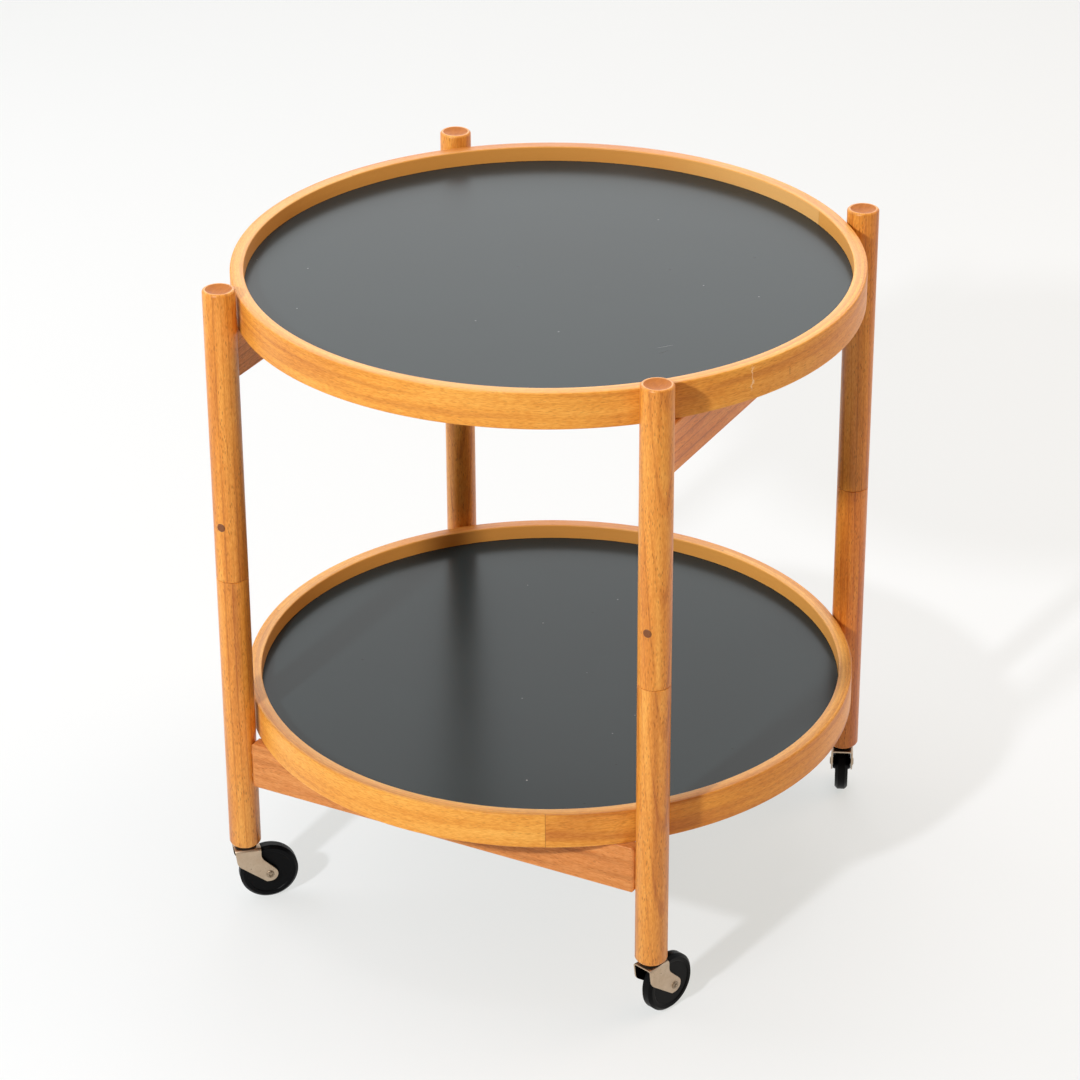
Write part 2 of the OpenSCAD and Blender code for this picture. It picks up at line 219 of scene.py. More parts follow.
@dataclass(frozen=True)
class OiledBeech:
    """Oiled beech: golden, with growth streaks and the short dark ticks of its rays.

    The oil lifts the contrast of the streaks and leaves a satin sheen. The tones are the light,
    middle and dark of the streaks. A feature's size is its length along the fibres and its width.
    The ticks are drawn about three times as wide as the real ones, of 0.3 mm, to show.
    """

    name: str
    grain: Grain
    tones: tuple[str, str, str] = ("#EEB054", "#DC923B", "#B66A2B")
    tick_tone: str = "#8C4817"
    tick_strength: float = 0.62
    ring_width: float = 5.5 * MM
    ring_strength: float = 0.16
    streak_strength: float = 0.4
    tone_size: Pair = (200 * MM, 11 * MM)
    streak_size: Pair = (26 * MM, 2.6 * MM)
    fibre_size: Pair = (5 * MM, 0.8 * MM)
    patch_size: Pair = (30 * MM, 6 * MM)
    tick_size: Pair = (6.5 * MM, 1.5 * MM)
    shift: Triple = (0.0, 0.0, 0.0)
    pith: Triple = (0.0, 0.045, 0.03)
    tilt: Triple = (0.0, 0.03, 0.05)
    soaked: Triple = (0.9, 0.78, 0.62)
    dry: Triple = (1.05, 1.09, 1.14)
    roughness: float = 0.34
    sheen_level: float = 0.45
    marks: tuple[Mark, ...] = ()
    end_level: float | None = None
    end_radius: float = 11.5 * MM
    end_tones: tuple[str, str] = ("#9C5722", "#C47A33")
    end_grid: Triple = (520, 190, 60)
    # Colour of the painted highlight round the dish
    ring_highlight_tone: str = "#F0BE84"
    leg_axis: float = 0.206
    hoop_radius: float = 0.275
    hoop_width: float = 12 * MM
    ply: float = 3 * MM
    seam_angle: float = 0.0
    board_drift: float = -0.035
    ply_turn: float = 1.9
    ply_shift: float = 0.37
    edge_round: float = 1.2 * MM
    # Side of the hoop that gets painted shade, and its colour below
    far_shade_side: Triple = (-0.5, 0.866, 0)
    glue_tone: str = "#B07338"
    # Colour of the painted light on the hoop's top and inner faces
    top_light_tone: str = "#F3CE8E"
    far_shade_tone: str = "#B2622C"
    inmost_tones: tuple[str, str] = ("#E4A04A", "#F5C680")
    # Colour of the painted shade in the crevice beside each leg
    crevice_shade_tone: str = "#3E2410"
    joint_tone: str = "#8C5425"

    def fibres(self, tree: Tree) -> tuple[Socket, Socket | None, Socket | None]:
        """Turns object coordinates into (along the fibres, across, across), in metres.

        Args:
            tree: Node tree of the material.

        Returns:
            The coordinates and, in a hoop, the angle round it and the distance from its axis.
        """
        place = add(tree, "TexCoord", out="Object")
        axes = add(tree, "SeparateXYZ", (place,)).node.outputs
        if self.grain is not Grain.ROUND_HOOP:
            return add(tree, "CombineXYZ", tuple(axes[name] for name in self.grain.value)), None, None
        flat = add(tree, "VectorMath MULTIPLY", (place, (1, 1, 0)))
        radius = add(tree, "VectorMath LENGTH", (flat,), "Value")
        angle = add(tree, "Math ARCTAN2", (axes["Y"], axes["X"]))
        depth = add(tree, "Math SUBTRACT", (self.hoop_radius + 0.1 * MM, radius))
        plies = add(tree, "Math DIVIDE", (depth, self.ply))
        number = add(tree, "Math FLOOR", (plies,))
        # Each ply is a board of its own, with its joint at an angle of its own
        turned_on = add(tree, "Math MULTIPLY_ADD", (number, self.ply_turn, angle))
        from_seam = add(tree, "Math SUBTRACT", (turned_on, self.seam_angle + math.pi))
        wrapped = add(tree, "Math WRAP", (from_seam, math.pi, -math.pi))
        along = add(tree, "Math MULTIPLY", (wrapped, self.hoop_radius))
        across = add(tree, "Math MULTIPLY_ADD", (number, self.ply_shift, radius))
        return add(tree, "CombineXYZ", (along, across, axes["Z"])), wrapped, radius

    def material(self) -> Material:
        """Makes the wood.

        Returns:
            The material.
        """
        material, tree, shader = new_material(self.name)
        grain, round_angle, radius = self.fibres(tree)
        moved = add(tree, "VectorMath ADD", (grain, self.shift))
        tone_at, streak_at, fibre_at, patch_at, tick_at = (
            add(tree, "VectorMath MULTIPLY", (moved, (1 / length, 1 / width, 1 / width)))
            for length, width in (
                self.tone_size, self.streak_size, self.fibre_size, self.patch_size, self.tick_size))
        # Slow change of tone along the board, streaks of the summer wood, fibres, and patches of ticks
        tone, streak, fibre, patches = (
            add(tree, "TexNoise", {"Vector": at, "Scale": 1.0, "Detail": detail, "Roughness": rough,
                                   "Distortion": bent})
            for at, detail, rough, bent in ((tone_at, 2.0, 0.5, 0.4), (streak_at, 4.0, 0.6, 0.5),
                                            (fibre_at, 2.0, 0.6, 0.0), (patch_at, 1.0, 0.5, 0.0)))
        # Growth rings round a pith that lies beside the board and leans a little
        board = add(tree, "Mapping", {"Vector": moved, "Location": self.pith, "Rotation": self.tilt})
        rings = add(tree, "TexWave", {
            "Vector": board, "Scale": WAVE_PERIOD / self.ring_width, "Distortion": 4.0, "Detail": 2.0,
            "Detail Scale": 0.03}, "Fac", wave_type="RINGS", rings_direction="X", wave_profile="SIN")
        line = add(tree, "MapRange", (rings, 0.84, 1.0), **SMOOTH)
        ticks = add(tree, "TexVoronoi", {"Vector": tick_at, "Scale": 1.0, "Randomness": 1.0}, "Distance",
                    feature="F1")
        tick = add(tree, "MapRange", (ticks, 0.14, 0.36, 1.0, 0.0), **SMOOTH)
        where = add(tree, "MapRange", (patches, 0.3, 0.58))
        tick = add(tree, "Math MULTIPLY", (tick, where))

        level = add(tree, "Math MULTIPLY_ADD", (streak, self.streak_strength, tone))
        level = add(tree, "Math MULTIPLY_ADD", (line, self.ring_strength, level))
        if round_angle is not None:
            # The end of a ply is a lighter board than its start
            level = add(tree, "Math MULTIPLY_ADD", (round_angle, self.board_drift, level))
        middle, spread = 0.5 * (1 + self.streak_strength) + 0.2 * self.ring_strength, 0.36
        ramp = add(tree, "MapRange", (level, middle - spread, middle + spread))
        colour = add(tree, "ValToRGB", (ramp,))
        light, mid, dark = (linear(tone) for tone in self.tones)
        stops = colour.node.color_ramp.elements
        stops[0].color, stops[1].color = light, dark
        stops.new(0.5).color = mid
        # Thin-walled fibres drink more oil and turn redder, not only darker
        lit = add(tree, "MapRange", (fibre, 0.36, 0.64))
        tint = add(tree, "Mix", {FACTOR: lit, A: (*self.soaked, 1), B: (*self.dry, 1)}, **COLOUR_MIX)
        colour = add(tree, "VectorMath MULTIPLY", (colour, tint))
        darker = add(tree, "Math MULTIPLY", (tick, self.tick_strength))
        colour = add(tree, "Mix", {FACTOR: darker, A: colour, B: linear(self.tick_tone)}, **COLOUR_MIX)
        rough = add(tree, "MapRange", (patches, 0, 1, self.roughness - 0.06, self.roughness + 0.08))
        if self.end_level is not None:
            colour, cut = self.cut_end(tree, colour)
            rough = add(tree, "Math MULTIPLY_ADD", (cut, 0.3, rough))
        if round_angle is not None:
            # The hoop gets painted light on its top and painted shade at the back and beside the legs;
            # the crevice's painted shade is also made rougher
            colour, crevice_shade = self.laminated(tree, colour, round_angle, radius)
            rough = add(tree, "Math MULTIPLY_ADD", (crevice_shade, 0.7, rough))
        for mark in self.marks:
            colour = mark.over(tree, colour)
        pores = add(tree, "Math MULTIPLY_ADD", (tick, -0.6, fibre))
        relief = add(tree, "Bump", {"Height": pores, "Strength": 0.35, "Distance": 0.06 * MM})
        feed(shader, {"Base Color": colour, "Roughness": rough, "Normal": relief,
                      "Specular IOR Level": self.sheen_level})
        return material

    def cut_end(self, tree: Tree, colour: Socket) -> tuple[Socket, Socket]:
        """Colours the turned top of a leg, where the fibres are cut across and drink more oil, and paints
        a highlight round the dish.

        Args:
            tree: Node tree of the material.
            colour: Colour of the long grain.

        Returns:
            The colour with the cut end in it, and 1 where the end is cut.
        """
        place = add(tree, "TexCoord", out="Object")
        height = add(tree, "SeparateXYZ", (place,), "Z")
        flat = add(tree, "VectorMath MULTIPLY", (place, self.end_grid))
        rays = add(tree, "TexNoise", {"Vector": flat, "Scale": 1.0, "Detail": 3.0})
        dark, light = (linear(tone) for tone in self.end_tones)
        cut = add(tree, "Mix", {FACTOR: rays, A: dark, B: light}, **COLOUR_MIX)
        # All four legs stand the same distance from the middle, so one corner serves for all
        one = add(tree, "VectorMath ABSOLUTE", (place,))
        from_axis = add(tree, "VectorMath SUBTRACT", (one, (self.leg_axis, self.leg_axis, 0)))
        level = add(tree, "VectorMath MULTIPLY", (from_axis, (1, 1, 0)))
        radius = add(tree, "VectorMath LENGTH", (level,), "Value")
        r, top = self.end_radius, self.end_level
        inside = add(tree, "MapRange", (radius, r - 0.3 * MM, r + 0.1 * MM, 1.0, 0.0))
        deep = add(tree, "Math GREATER_THAN", (height, top - 4 * MM))
        mask = add(tree, "Math MULTIPLY", (inside, deep))
        # Painted highlight: a paler ring is painted on the rounded edge round the dish
        near = add(tree, "MapRange", (height, top - MM, top + MM))
        ring = add(tree, "MapRange", (radius, r + 0.5 * MM, r + 1.6 * MM, 0.3, 0.0))
        ring_highlight = add(tree, "Math MULTIPLY", (near, ring))
        for share, tone in ((ring_highlight, linear(self.ring_highlight_tone)), (mask, cut)):
            colour = add(tree, "Mix", {FACTOR: share, A: colour, B: tone}, **COLOUR_MIX)
        return colour, mask

    def laminated(self, tree: Tree, colour: Socket, round_angle: Socket,
                  radius: Socket) -> tuple[Socket, Socket]:
        """Draws the glue lines between the hoop's plies, their butt joints and their tones, with painted
        light on its top, painted shade at the back and painted shade in the crevice beside each leg.

        Args:
            tree: Node tree of the material.
            colour: Colour of the wood.
            round_angle: Angle round the hoop, from one ply end to the other.
            radius: Distance from the hoop's axis.

        Returns:
            The colour with all this in it, and up to 1 where the crevice beside a leg is painted in
            shade.
        """
        depth = add(tree, "Math SUBTRACT", (self.hoop_radius, radius))
        # The ping-pong folds at half a ply, so it comes to zero at the edge of every ply
        to_line = add(tree, "Math PINGPONG", (depth, self.ply / 2))
        line = add(tree, "MapRange", (to_line, 0.15 * MM, 0.5 * MM, 1.0, 0.0))
        inside = add(tree, "Math GREATER_THAN", (depth, self.edge_round))
        glue = add(tree, "Math MULTIPLY", (line, inside))
        glue = add(tree, "Math MULTIPLY", (glue, 0.3))
        # Painted light: from 1 mm to 9 mm in from the outer face the hoop is painted paler, so its top
        # and inner faces read as lit
        pale = add(tree, "MapRange", (depth, MM, 9 * MM, 0.0, 0.24))
        # Painted shade: the side of the hoop that stands to the rear left, far from the front lamp, is
        # painted darker and browner
        place = add(tree, "TexCoord", out="Object")
        rearward = add(tree, "VectorMath DOT_PRODUCT", (place, self.far_shade_side), "Value")
        far_shade = add(tree, "MapRange", (rearward, 0.19, 0.265, 0.0, 0.55), **SMOOTH)
        # The innermost ply is redder, and pale on one side of its joint
        inmost = add(tree, "Math GREATER_THAN", (depth, self.hoop_width - 0.5 * MM))
        beside = add(tree, "MapRange", (round_angle, -2.9, -2.2, 0.7, 0.0), **SMOOTH)
        red, pale_red = (linear(tone) for tone in self.inmost_tones)
        inner = add(tree, "Mix", {FACTOR: beside, A: red, B: pale_red}, **COLOUR_MIX)
        inmost = add(tree, "Math MULTIPLY", (inmost, 0.7))
        # Painted shade: the outer face is painted dark in the crevice beside each leg, on the diagonals
        one = add(tree, "VectorMath ABSOLUTE", (place,))
        aside = add(tree, "VectorMath DOT_PRODUCT", (one, (1, -1, 0)), "Value")
        aside = add(tree, "Math ABSOLUTE", (aside,))
        close = add(tree, "MapRange", (aside, 4 * MM, 17 * MM, 0.4, 0.0), **SMOOTH)
        outer = add(tree, "Math LESS_THAN", (depth, 0.3 * MM))
        crevice_shade = add(tree, "Math MULTIPLY", (close, outer))
        ends = add(tree, "Math ABSOLUTE", (round_angle,))
        gap = 0.4 * MM / self.hoop_radius
        joint = add(tree, "Math GREATER_THAN", (ends, math.pi - gap))
        joint = add(tree, "Math MULTIPLY", (joint, 0.5))
        for share, tone in (
            (glue, linear(self.glue_tone)), (pale, linear(self.top_light_tone)),
            (far_shade, linear(self.far_shade_tone)), (inmost, inner),
            (crevice_shade, linear(self.crevice_shade_tone)), (joint, linear(self.joint_tone)),
        ):
            colour = add(tree, "Mix", {FACTOR: share, A: colour, B: tone}, **COLOUR_MIX)
        return colour, crevice_shade


@dataclass(frozen=True)
class PlainWood:
    """Dowel stock, turned and left dry or oiled dark: even in tone, with a fine fibre."""

    name: str
    colour: str
    dark: str
    along: Triple
    roughness: float = 0.5

    def material(self) -> Material:
        """Makes the wood.

        Returns:
            The material.
        """
        material, tree, shader = new_material(self.name)
        place = add(tree, "TexCoord", out="Object")
        stretched = add(tree, "VectorMath MULTIPLY", (place, self.along))
        fibre = add(tree, "TexNoise", {"Vector": stretched, "Scale": 1.0, "Detail": 3.0})
        colour = add(tree, "Mix", {FACTOR: fibre, A: linear(self.colour), B: linear(self.dark)},
                     **COLOUR_MIX)
        relief = add(tree, "Bump", {"Height": fibre, "Strength": 0.3, "Distance": 0.05 * MM})
        feed(shader, {"Base Color": colour, "Roughness": self.roughness, "Normal": relief})
        return material


@dataclass(frozen=True)
class PressedLaminate:
    """High-pressure laminate with a fine matt face: near black, with a soft broad reflection.

    Cups have left faint rub marks, pale specks and a few short dark scratches.
    Each kind of speck has its grid per metre, its share of the grid, its colour and its strength.
    """

    name: str = "pressed_laminate_black"
    dark: str = "#232B2D"
    rubbed: str = "#2A3436"
    roughness: float = 0.24
    sheen_level: float = 0.1
    specks: tuple[tuple[Triple, float, str, float], ...] = (
        ((28, 28, 28), 0.022, "#8A8F90", 0.5), ((18, 34, 20), 0.026, "#17191A", 0.7))
    marks: tuple[Mark, ...] = ()

    def material(self) -> Material:
        """Makes the laminate.

        Returns:
            The material.
        """
        material, tree, shader = new_material(self.name)
        place = add(tree, "TexCoord", out="Object")
        cloud = add(tree, "TexNoise", {"Vector": place, "Scale": 9.0, "Detail": 1.5})
        colour = add(tree, "Mix", {FACTOR: cloud, A: linear(self.dark), B: linear(self.rubbed)},
                     **COLOUR_MIX)
        for scale, size, tone, strength in self.specks:
            grid = add(tree, "VectorMath MULTIPLY", (place, scale))
            spots = add(tree, "TexVoronoi", {"Vector": grid, "Scale": 1.0}, "Distance")
            spot = add(tree, "Math LESS_THAN", (spots, size))
            faint = add(tree, "Math MULTIPLY", (spot, strength))
            colour = add(tree, "Mix", {FACTOR: faint, A: colour, B: linear(tone)}, **COLOUR_MIX)
        for mark in self.marks:
            colour = mark.over(tree, colour)
        rough = add(tree, "MapRange", (cloud, 0.3, 0.7, self.roughness - 0.01, self.roughness + 0.01))
        grit = add(tree, "TexNoise", {"Vector": place, "Scale": 1400.0, "Detail": 1.0})
        relief = add(tree, "Bump", {"Height": grit, "Strength": 0.15, "Distance": 0.02 * MM})
        feed(shader, {"Base Color": colour, "Roughness": rough, "Normal": relief,
                      "Specular IOR Level": self.sheen_level})
        return material


@dataclass(frozen=True)
class Metal:
    """Steel under a thin finish: zinc plate is warm and cloudy, turned steel is cool and bright.

    Handling and floor dust leave small dull spots of about 1 mm. The inside of the forks is painted near
    black as shade.
    """

    name: str
    colour: str
    cloud_colour: str
    roughness: float
    cloud_size: float = 6 * MM
    soiled_from: float = 0.66
    soil_tone: str = "#5C4F42"
    # Colour of the painted shade inside the forks
    inside_shade_tone: str = "#17120E"

    def material(self) -> Material:
        """Makes the metal.

        Returns:
            The material.
        """
        material, tree, shader = new_material(self.name)
        place = add(tree, "TexCoord", out="Object")
        cloud = add(tree, "TexNoise", {
            "Vector": place, "Scale": 1 / self.cloud_size, "Detail": 4.0, "Roughness": 0.65})
        spots = add(tree, "TexNoise", {"Vector": place, "Scale": 700.0, "Detail": 2.0})
        dull = add(tree, "MapRange", (spots, self.soiled_from, self.soiled_from + 0.08, 0.0, 0.6))
        # Painted shade: faces inside a fork, marked on its mesh, are painted near black
        inside = add(tree, "Attribute", out="Fac", attribute_name=INSIDE)
        colour = linear(self.colour)
        for share, tone in (
            (cloud, self.cloud_colour), (dull, self.soil_tone), (inside, self.inside_shade_tone)):
            colour = add(tree, "Mix", {FACTOR: share, A: colour, B: linear(tone)}, **COLOUR_MIX)
        rough = add(tree, "MapRange", (cloud, 0, 1, self.roughness - 0.08, self.roughness + 0.12))
        relief = add(tree, "Bump", {"Height": cloud, "Strength": 0.12, "Distance": 0.05 * MM})
        feed(shader, {"Base Color": colour, "Metallic": 1.0, "Roughness": rough, "Normal": relief})
        return material


@dataclass(frozen=True)
class MouldedBlack:
    """Black plastic or blackened steel, with fine dust and scuffs from the floor."""

    name: str
    colour: str
    dust: str
    roughness: float
    sheen_level: float = 0.15

    def material(self) -> Material:
        """Makes the black part's finish.

        Returns:
            The material.
        """
        material, tree, shader = new_material(self.name)
        place = add(tree, "TexCoord", out="Object")
        specks = add(tree, "TexNoise", {"Vector": place, "Scale": 420.0, "Detail": 4.0, "Roughness": 0.7})
        amount = add(tree, "MapRange", (specks, 0.5, 0.8, 0.0, 0.35))
        colour = add(tree, "Mix", {FACTOR: amount, A: linear(self.colour), B: linear(self.dust)},
                     **COLOUR_MIX)
        rough = add(tree, "MapRange", (specks, 0, 1, self.roughness - 0.05, self.roughness + 0.2))
        relief = add(tree, "Bump", {"Height": specks, "Strength": 0.1, "Distance": 0.03 * MM})
        feed(shader, {"Base Color": colour, "Roughness": rough, "Normal": relief,
                      "Specular IOR Level": self.sheen_level})
        return material


def arc(centre: Pair, radius: float, start: float, end: float, steps: int = 6) -> Outline:
    """Points of an arc.

    Args:
        centre: Middle of the arc.
        radius: Its radius.
        start: First angle, in degrees.
        end: Last angle, in degrees.
        steps: Number of straight steps.

    Returns:
        The points from the first angle to the last.
    """
    angles = [math.radians(start + (end - start) * i / steps) for i in range(steps + 1)]
    return [(centre[0] + radius * math.cos(a), centre[1] + radius * math.sin(a)) for a in angles]


def rounded_corner(before: Pair, corner: Pair, after: Pair,
                   radius: float, steps: int = 6) -> Outline:
    """Points of an arc that rounds the corner between two straight edges.

    Args:
        before: Start of the first edge.
        corner: Sharp corner.
        after: End of the second edge.
        radius: Rounding of the corner.
        steps: Number of straight steps.

    Returns:
        The points from the first edge to the second.
    """
    here = Vector(corner)
    back, on = (Vector(before) - here).normalized(), (Vector(after) - here).normalized()
    half = back.angle(on) / 2
    centre = here + (back + on).normalized() * radius / math.sin(half)
    first, last = (here + way * radius / math.tan(half) - centre for way in (back, on))
    rays = [first.lerp(last, i / steps).normalized() * radius for i in range(steps + 1)]
    return [tuple(centre + ray) for ray in rays]


def select(piece: Piece | None = None) -> None:
    """Leaves nothing selected but one piece, which becomes active.

    Args:
        piece: That piece, if there is one.
    """
    if bpy.context.object and bpy.context.object.mode != "OBJECT":
        bpy.ops.object.mode_set(mode="OBJECT")
    bpy.ops.object.select_all(action="DESELECT")
    if piece:
        piece.select_set(True)
        bpy.context.view_layer.objects.active = piece


def sketch(name: str, points: Sequence[Vector]) -> Piece:
    """Draws a chain of edges by extruding a single point, and leaves it in edit mode.

    Args:
        name: Name of the new object.
        points: Corners of the chain.

    Returns:
        The new object.
    """
    select()
    bpy.ops.mesh.primitive_plane_add(size=MM, location=points[0])
    piece = bpy.context.object
    piece.name = name
    bpy.ops.object.mode_set(mode="EDIT")
    bpy.ops.mesh.select_mode(type="VERT")
    bpy.ops.mesh.select_all(action="SELECT")
    bpy.ops.mesh.merge(type="CENTER")
    for here, there in zip(points, points[1:]):
        bpy.ops.mesh.extrude_region_move(TRANSFORM_OT_translate={"value": there - here})
    bpy.ops.mesh.select_all(action="SELECT")
    return piece


def tidy_mesh(piece: Piece, smooth: float = SMOOTH_ANGLE) -> Piece:
    """Merges doubles, turns faces outward, puts the place into the mesh and smooths it.

    Args:
        piece: Object in edit or object mode.
        smooth: Largest angle between two faces that shade as one.

    Returns:
        The same object.
    """
    select(piece)
    bpy.ops.object.mode_set(mode="EDIT")
    bpy.ops.mesh.select_all(action="SELECT")
    bpy.ops.mesh.remove_doubles(threshold=0.002 * MM)
    bpy.ops.mesh.normals_make_consistent()
    bpy.ops.object.mode_set(mode="OBJECT")
    bpy.ops.object.transform_apply()
    bpy.ops.object.shade_smooth_by_angle(angle=smooth)
    return piece


def turned(name: str, outline: Outline, steps: int) -> Piece:
    """Turns an outline about the Z axis, as on a lathe.

    Args:
        name: Name of the new object.
        outline: Points of (radius, height), closed or from axis to axis.
        steps: Number of steps round.

    Returns:
        The turned piece.
    """
    piece = sketch(name, [Vector((radius, 0, height)) for radius, height in outline])
    bpy.ops.mesh.spin(steps=steps, angle=math.tau, center=(0, 0, 0), axis=UP)
    return tidy_mesh(piece)


def block(name: str, size: Vector, centre: Vector, edge: Callable[[Vector], bool], radius: float,
          steps: int = 6) -> Piece:
    """Cuts a block and rounds the edges that run in one direction.

    Args:
        name: Name of the new object.
        size: Length along X, Y and Z.
        centre: Middle of the block.
        edge: Test on an edge's direction.
        radius: Rounding of those edges.
        steps: Segments of the rounding.

    Returns:
        The block.
    """
    select()
    bpy.ops.mesh.primitive_cube_add(size=1, location=centre, scale=size)
    piece = bpy.context.object
    piece.name = name
    bpy.ops.object.transform_apply()
    bpy.ops.object.mode_set(mode="EDIT")
    bpy.ops.mesh.select_mode(type="EDGE")
    bpy.ops.mesh.select_all(action="DESELECT")
    mesh = bmesh.from_edit_mesh(piece.data)
    for line in mesh.edges:
        line.select = edge((line.verts[1].co - line.verts[0].co).normalized())
    mesh.select_flush_mode()
    bmesh.update_edit_mesh(piece.data)
    bpy.ops.mesh.bevel(offset=radius, segments=steps, affect="EDGES")
    bpy.ops.object.mode_set(mode="OBJECT")
    return piece


def apply_modifier(piece: Piece, kind: str, **settings) -> None:
    """Adds a modifier with its settings and applies it.

    Args:
        piece: Object that takes it.
        kind: Blender's name of the modifier's type.
        **settings: Attributes of the modifier.
    """
    select(piece)
    modifier = piece.modifiers.new(kind.title(), kind)
    for name, value in settings.items():
        setattr(modifier, name, value)
    bpy.ops.object.modifier_apply(modifier=modifier.name)


def keep_common(piece: Piece, other: Piece) -> None:
    """Leaves of a piece only what lies inside another, which is used up.

    Args:
        piece: Piece that is cut.
        other: Closed piece that cuts it.
    """
    apply_modifier(piece, "BOOLEAN", operation="INTERSECT", solver="EXACT", object=other)
    bpy.data.objects.remove(other)


def placed_copy(source: Piece, name: str, place: Matrix) -> Piece:
    """Copies a piece with a mesh of its own, at a place that goes into the mesh.

    Args:
        source: Piece to copy.
        name: Name of the copy.
        place: Where the copy goes.

    Returns:
        The copy.
    """
    select(source)
    bpy.ops.object.duplicate()
    copy = bpy.context.object
    copy.name = name
    copy.matrix_world = place
    bpy.ops.object.transform_apply()
    return copy


def fit_out(piece: Piece, node: str, material: Material) -> None:
    """Gives a piece its finish and puts it in the place of its node.

    Args:
        piece: Finished piece.
        node: CAD node that it stands for.
        material: Finish of the piece.
    """
    piece.data.materials.clear()
    piece.data.materials.append(material)
    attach(piece, frame["nodes"][node]["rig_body"])
    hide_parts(node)
    log.info("%s: %d faces, stands for %s", piece.name, len(piece.data.polygons), node)


def recolour(nodes: Iterable[str], material: Material) -> None:
    """Gives CAD nodes whose shape stays a better finish.

    Args:
        nodes: Names of the nodes.
        material: Their finish.
    """
    for node in nodes:
        materials = frame["nodes"][node].data.materials
        materials.clear()
        materials.append(material)
        log.info("%s: keeps its shape, finish %s", node, material.name)


@dataclass
class TrayMaker:
    """Makes a round tray: a hoop of bent plies and a laminate floor in its groove."""

    name: str
    finish: OiledBeech
    floor: Material
    rim_w: float = 12 * MM
    rim_round: float = 1.2 * MM
    panel_t: float = 4.5 * MM
    groove_d: float = 5 * MM
    glue_line: float = 0.05 * MM
    floor_edge: float = 0.25 * MM
    steps: int = 240

    def build(self) -> None:
        """Makes the rim and the floor."""
        low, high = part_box(f"{self.name}_rim")
        self.rim(high.x, low.z, high.z)
        self.panel(high.x, (low.z + high.z) / 2)

    def rim(self, outer: float, low: float, high: float) -> None:
        """Turns the hoop's section, with its groove and rounded edges.

        Args:
            outer: Outer radius.
            low: Height of its underside.
            high: Height of its top.
        """
        inner, r = outer - self.rim_w, self.rim_round
        middle, half = (low + high) / 2, self.panel_t / 2
        bottom = inner + self.groove_d
        outline = [
            (inner, middle + half), *arc((inner + r, high - r), r, 180, 90),
            *arc((outer - r, high - r), r, 90, 0), *arc((outer - r, low + r), r, 0, -90),
            *arc((inner + r, low + r), r, -90, -180), (inner, middle - half), (bottom, middle - half),
            (bottom, middle + half), (inner, middle + half)]
        piece = turned(f"{self.name}_hoop", outline, self.steps)
        fit_out(piece, f"{self.name}_rim", self.finish.material())

    def panel(self, outer: float, middle: float) -> None:
        """Turns the floor, reversible, with its edge let into the groove.

        Args:
            outer: Outer radius of the rim.
            middle: Height of the floor's middle.
        """
        floor_r = outer - self.rim_w - self.glue_line
        half, e = self.panel_t / 2, self.floor_edge
        tongue_r, tongue = floor_r + self.groove_d, half - self.glue_line
        edge = [(floor_r / 2, half), (floor_r - e, half), (floor_r, half - e), (floor_r, tongue - e),
                (tongue_r, tongue - e)]
        outline = [(0, middle + half), *((r, middle + z) for r, z in edge),
                   *((r, middle - z) for r, z in reversed(edge)), (0, middle - half)]
        fit_out(turned(f"{self.name}_floor", outline, self.steps), f"{self.name}_panel", self.floor)


